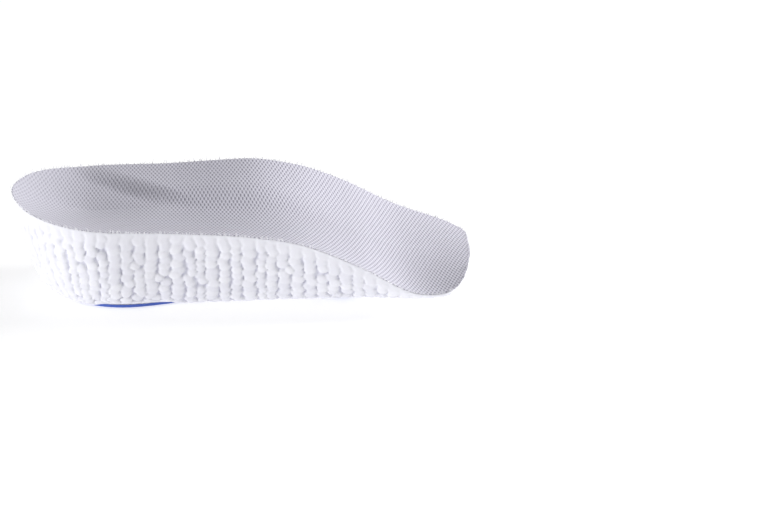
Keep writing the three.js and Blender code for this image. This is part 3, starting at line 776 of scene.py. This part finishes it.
# Cut polyester yarn: dull and nearly white, as its fibres splay and catch the light.
yarn_material, tree, shader = new_material("cut polyester yarn")
place = add_node(tree, "ShaderNodeTexCoord")
shade = add_node(tree, "ShaderNodeTexNoise", {"Vector": place.outputs["Object"],
                                              "Scale": 1 / (0.8 * MM)})
end_colour = add_node(tree, "ShaderNodeMix", {"Factor": shade.outputs["Fac"], "A": srgb("#ECECF4"),
                                              "B": srgb("#FAFAFD")}, data_type="RGBA")
tree.links.new(end_colour.outputs["Result"], shader.inputs["Base Color"])
shader.inputs["Roughness"].default_value = 0.8
shader.inputs["Sheen Weight"].default_value = 0.2
yarn_ends.data.materials.append(yarn_material)
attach(yarn_ends, "root")

# ---- support insert --------------------------------------------------------
# Blue moulded elastomer, 3 mm thick, standing 1.2 mm out of the sole. A flat
# oval pad lies under the heel; an arc groove parts it from the tail, which six
# cross grooves let bend. Its edges are rounded and its face is finely grained.
INSERT_THICKNESS = 3
EDGE_RADIUS = 0.5
GROOVE_COUNT = 6
FIRST_GROOVE = 78              # middle of the cross groove nearest the heel
GROOVE_SPACING = 8.35
GROOVE_MARGINS = (1.9, 3.8)    # plain face at its outer and inner ends
GROOVE_DEPTH = 0.6
GROOVE_HALF_WIDTH = 1.4
GROOVE_SLOPE = 0.28            # width of a groove's moulded side
ARC_CENTRE = (44, -3)
ARC_RADIUS = 24.6
ARC_WIDTH = 2.1
ARC_SPAN = (-33, 46)           # degrees from the toes' way towards the inner side
ARC_RAMP = 6.0                 # width of its far side where that is a long slope
SIDE_HEIGHT = 1.6              # of the loop of points halfway up the sides

station = insert_stations(430)
outer_edge, inner_edge = insert_edges(station)
even = np.linspace(-1, 1, 105)
spread = np.sin(even * np.pi / 2) * 0.35 + even * 0.65
plan_x = np.repeat(station[:, None], len(spread), axis=1)
plan_y = mix(outer_edge[:, None], inner_edge[:, None], (spread[None] + 1) / 2)
plan = np.column_stack([plan_x.ravel(), plan_y.ravel()])
from_edge = distance_to(plan, insert_loop(0.0)).reshape(plan_x.shape)
from_edge = np.minimum(from_edge, TAIL_END - plan_x)
from_edge[:, [0, -1]] = 0


def within(value, low, high, slope):
    """1 between two limits and 0 outside them, with smooth sides of a given width."""
    return smooth_step(value, low - slope / 2, low + slope / 2) * (
        1 - smooth_step(value, high - slope / 2, high + slope / 2))


groove = np.zeros(plan_x.shape)
for number in range(GROOVE_COUNT):
    middle = FIRST_GROOVE + GROOVE_SPACING * number
    outer_end, inner_end = (side[0] for side in insert_edges(np.array([middle])))
    across_groove = within(plan_x, middle - GROOVE_HALF_WIDTH, middle + GROOVE_HALF_WIDTH, GROOVE_SLOPE)
    along_groove = within(plan_y, outer_end + GROOVE_MARGINS[0], inner_end - GROOVE_MARGINS[1],
                          GROOVE_SLOPE)
    groove = np.maximum(groove, across_groove * along_groove)
arc_reach = np.hypot(plan_x - ARC_CENTRE[0], plan_y - ARC_CENTRE[1])
arc_angle = np.degrees(np.arctan2(plan_y - ARC_CENTRE[1], plan_x - ARC_CENTRE[0]))
open_side = smooth_step(arc_angle, -8, 12)
far_slope = mix(GROOVE_SLOPE, ARC_RAMP, open_side)
far_edge = ARC_RADIUS + ARC_WIDTH + far_slope / 2
arc = smooth_step(arc_reach, ARC_RADIUS - GROOVE_SLOPE / 2, ARC_RADIUS + GROOVE_SLOPE / 2)
arc = arc * (1 - np.clip((arc_reach - far_edge + far_slope / 2) / far_slope, 0, 1))
arc = arc * within(arc_angle, *ARC_SPAN, 4) * smooth_step(from_edge, 0.4, 1.0)
groove = np.maximum(groove, arc)
into_edge = np.clip(EDGE_RADIUS - from_edge, 0, None)
edge_round = EDGE_RADIUS - np.sqrt(np.clip(EDGE_RADIUS**2 - into_edge**2, 0, None))
face = sole_height(plan_x, plan_y) - INSERT_PROUD
under_face = np.dstack([plan_x, plan_y, face + edge_round + GROOVE_DEPTH * groove])
last = len(spread) - 1
back_columns = np.array([last, last, 80, 52, 24, 0, 0])
back_rise = np.array([SIDE_HEIGHT] + [INSERT_THICKNESS] * 5 + [SIDE_HEIGHT])
back_face = np.dstack([plan_x[:, back_columns], plan_y[:, back_columns],
                       face[:, back_columns] + back_rise])
loops = np.concatenate([under_face, back_face], axis=1)


def tube_mesh(name, loops):
    """Closed mesh through loops of points along a piece: quads between the loops and
    one flat face at the last; the first loop shrinks to a line and is welded."""
    rows, count = loops.shape[:2]
    index = np.arange(rows * count).reshape(rows, count)
    a, c = index[:-1], index[1:]
    quads = np.stack([a, c, np.roll(c, -1, axis=1), np.roll(a, -1, axis=1)], 2).reshape(-1, 4)
    mesh = bpy.data.meshes.new(name)
    mesh.from_pydata(in_place(loops.reshape(-1, 3)), [], quads.tolist() + [index[-1].tolist()])
    piece = bpy.data.objects.new(name, mesh)
    bpy.context.scene.collection.objects.link(piece)
    work = bmesh.new()
    work.from_mesh(mesh)
    bmesh.ops.remove_doubles(work, verts=work.verts, dist=1e-6)
    bmesh.ops.dissolve_degenerate(work, edges=work.edges, dist=1e-7)
    bmesh.ops.recalc_face_normals(work, faces=work.faces)
    work.to_mesh(mesh)
    work.free()
    mesh.shade_smooth()
    return piece


insert = tube_mesh("moulded_support_insert", loops)

# Moulded elastomer foam, cobalt blue: matt, with a fine mottled grain from the
# mould. A disc in two rings is printed in dark ink in the middle of the heel pad.
MARK_RINGS = ((0, 1.3), (2.6, 3.5), (4.8, 5.7))   # inner and outer radius of each, in mm
insert_material, tree, shader = new_material("blue moulded elastomer")
place = add_node(tree, "ShaderNodeTexCoord")
mottle = add_node(tree, "ShaderNodeTexNoise", {"Vector": place.outputs["Object"],
                                               "Scale": 1 / (0.9 * MM), "Detail": 4.0,
                                               "Roughness": 0.65})
blue = add_node(tree, "ShaderNodeMix", {"Factor": mottle.outputs["Fac"], "A": srgb("#3450A6"),
                                        "B": srgb("#4C6CC8")}, data_type="RGBA")
mark_place = Vector(in_place(np.array([42.0, -2.8, 0.0])))
centred = add_node(tree, "ShaderNodeVectorMath", {0: place.outputs["Object"], 1: mark_place},
                   operation="SUBTRACT")
flattened = add_node(tree, "ShaderNodeVectorMath", {0: centred.outputs["Vector"], 1: (1, 1, 0)},
                     operation="MULTIPLY")
from_mark = add_node(tree, "ShaderNodeVectorMath", {0: flattened.outputs["Vector"]},
                     operation="LENGTH")
bands = []
for inner_radius, outer_radius in MARK_RINGS:
    middle = (inner_radius + outer_radius) / 2 * MM
    half = (outer_radius - inner_radius) / 2 * MM
    bands.append(add_node(tree, "ShaderNodeMath", {0: from_mark.outputs["Value"], 1: middle, 2: half},
                          operation="COMPARE"))
pair = add_node(tree, "ShaderNodeMath", {0: bands[0].outputs[0], 1: bands[1].outputs[0]},
                operation="MAXIMUM")
mark = add_node(tree, "ShaderNodeMath", {0: pair.outputs[0], 1: bands[2].outputs[0]},
                operation="MAXIMUM")
insert_colour = add_node(tree, "ShaderNodeMix", {"Factor": mark.outputs[0], "A": blue.outputs["Result"],
                                                 "B": srgb("#0C1132")}, data_type="RGBA")
grain = add_node(tree, "ShaderNodeTexNoise", {"Vector": place.outputs["Object"],
                                              "Scale": 1 / (0.45 * MM), "Detail": 2.0})
grain_bump = add_node(tree, "ShaderNodeBump", {"Height": grain.outputs["Fac"], "Strength": 0.5,
                                               "Distance": 0.06 * MM})
tree.links.new(insert_colour.outputs["Result"], shader.inputs["Base Color"])
tree.links.new(grain_bump.outputs["Normal"], shader.inputs["Normal"])
shader.inputs["Roughness"].default_value = 0.6
shader.inputs["IOR"].default_value = 1.5
insert.data.materials.append(insert_material)
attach(insert, "root")
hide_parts("support_insert")

# ---- adhesive films --------------------------------------------------------
# Two sheets of hot-melt film, hidden in the finished insole: one bonds the
# cover to the foam, the other bonds the insert in its pocket.

# Hot-melt film: smooth and faintly glossy, cream with a cloudy haze.
film_material, tree, shader = new_material("hot-melt adhesive film")
place = add_node(tree, "ShaderNodeTexCoord")
haze = add_node(tree, "ShaderNodeTexNoise", {"Vector": place.outputs["Object"], "Scale": 1 / (4 * MM),
                                             "Detail": 3.0})
film_colour = add_node(tree, "ShaderNodeMix", {"Factor": haze.outputs["Fac"], "A": srgb("#E4DDC4"),
                                               "B": srgb("#F1ECDD")}, data_type="RGBA")
tree.links.new(film_colour.outputs["Result"], shader.inputs["Base Color"])
shader.inputs["Roughness"].default_value = 0.35
shader.inputs["IOR"].default_value = 1.48
for film in ("cover_bond_film", "insert_bond_film"):
    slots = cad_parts[film].data.materials
    slots.clear()
    slots.append(film_material)

# ---- studio ----------------------------------------------------------------
# A light table of white acrylic, lit from within and clear from below. A soft
# light stands beyond the toe end, a weak one on the outer side and a small low
# one behind the heel, in a dim white surround.
FLOOR_HALF = 3.0
floor_mesh = bpy.data.meshes.new("studio_floor")
floor_mesh.from_pydata([(x * FLOOR_HALF, y * FLOOR_HALF, 0) for x, y in (
    (-1, -1), (1, -1), (1, 1), (-1, 1))], [], [(0, 1, 2, 3)])
floor = bpy.data.objects.new("studio_floor", floor_mesh)
bpy.context.scene.collection.objects.link(floor)

# Opal acrylic: matt light grey, whitened by its own even glow, and seen through
# from underneath so that the sole can be viewed.
floor_material, tree, shader = new_material("lit white acrylic")
shader.inputs["Base Color"].default_value = srgb("#C8C8C8")
shader.inputs["Roughness"].default_value = 0.9
shader.inputs["Specular IOR Level"].default_value = 0.1
shader.inputs["Emission Color"].default_value = srgb("#FFFFFF")
shader.inputs["Emission Strength"].default_value = 0.62
geometry = add_node(tree, "ShaderNodeNewGeometry")
clear = add_node(tree, "ShaderNodeBsdfTransparent")
one_way = add_node(tree, "ShaderNodeMixShader", {0: geometry.outputs["Backfacing"],
                                                 1: shader.outputs[0], 2: clear.outputs[0]})
tree.links.new(one_way.outputs[0], tree.nodes["Material Output"].inputs["Surface"])
floor.data.materials.append(floor_material)


def soft_light(name, place, aim, width, height, watts):
    """A rectangular area light at a place, turned to face its aim."""
    data = bpy.data.lights.new(name, "AREA")
    data.shape = "RECTANGLE"
    data.size = width
    data.size_y = height
    data.energy = watts
    light = bpy.data.objects.new(name, data)
    light.location = place
    light.rotation_euler = (Vector(aim) - Vector(place)).to_track_quat("-Z", "Y").to_euler()
    bpy.context.scene.collection.objects.link(light)


soft_light("key", (1.05, 0.14, 0.46), (0, 0, 0.02), 0.45, 0.45, 15.2)
soft_light("front_fill", (0.15, -1.2, 0.25), (0, 0, 0.02), 1.0, 0.3, 0.3)
soft_light("heel_strip", (-0.55, -0.22, 0.06), (0.02, 0, 0.02), 0.3, 0.08, 1.5)
world = bpy.data.worlds.new("white_surround")
world.use_nodes = True
world.node_tree.nodes["Background"].inputs["Color"].default_value = srgb("#FFFFFF")
world.node_tree.nodes["Background"].inputs["Strength"].default_value = 0.35
bpy.context.scene.view_settings.view_transform = "Standard"
bpy.context.scene.world = world
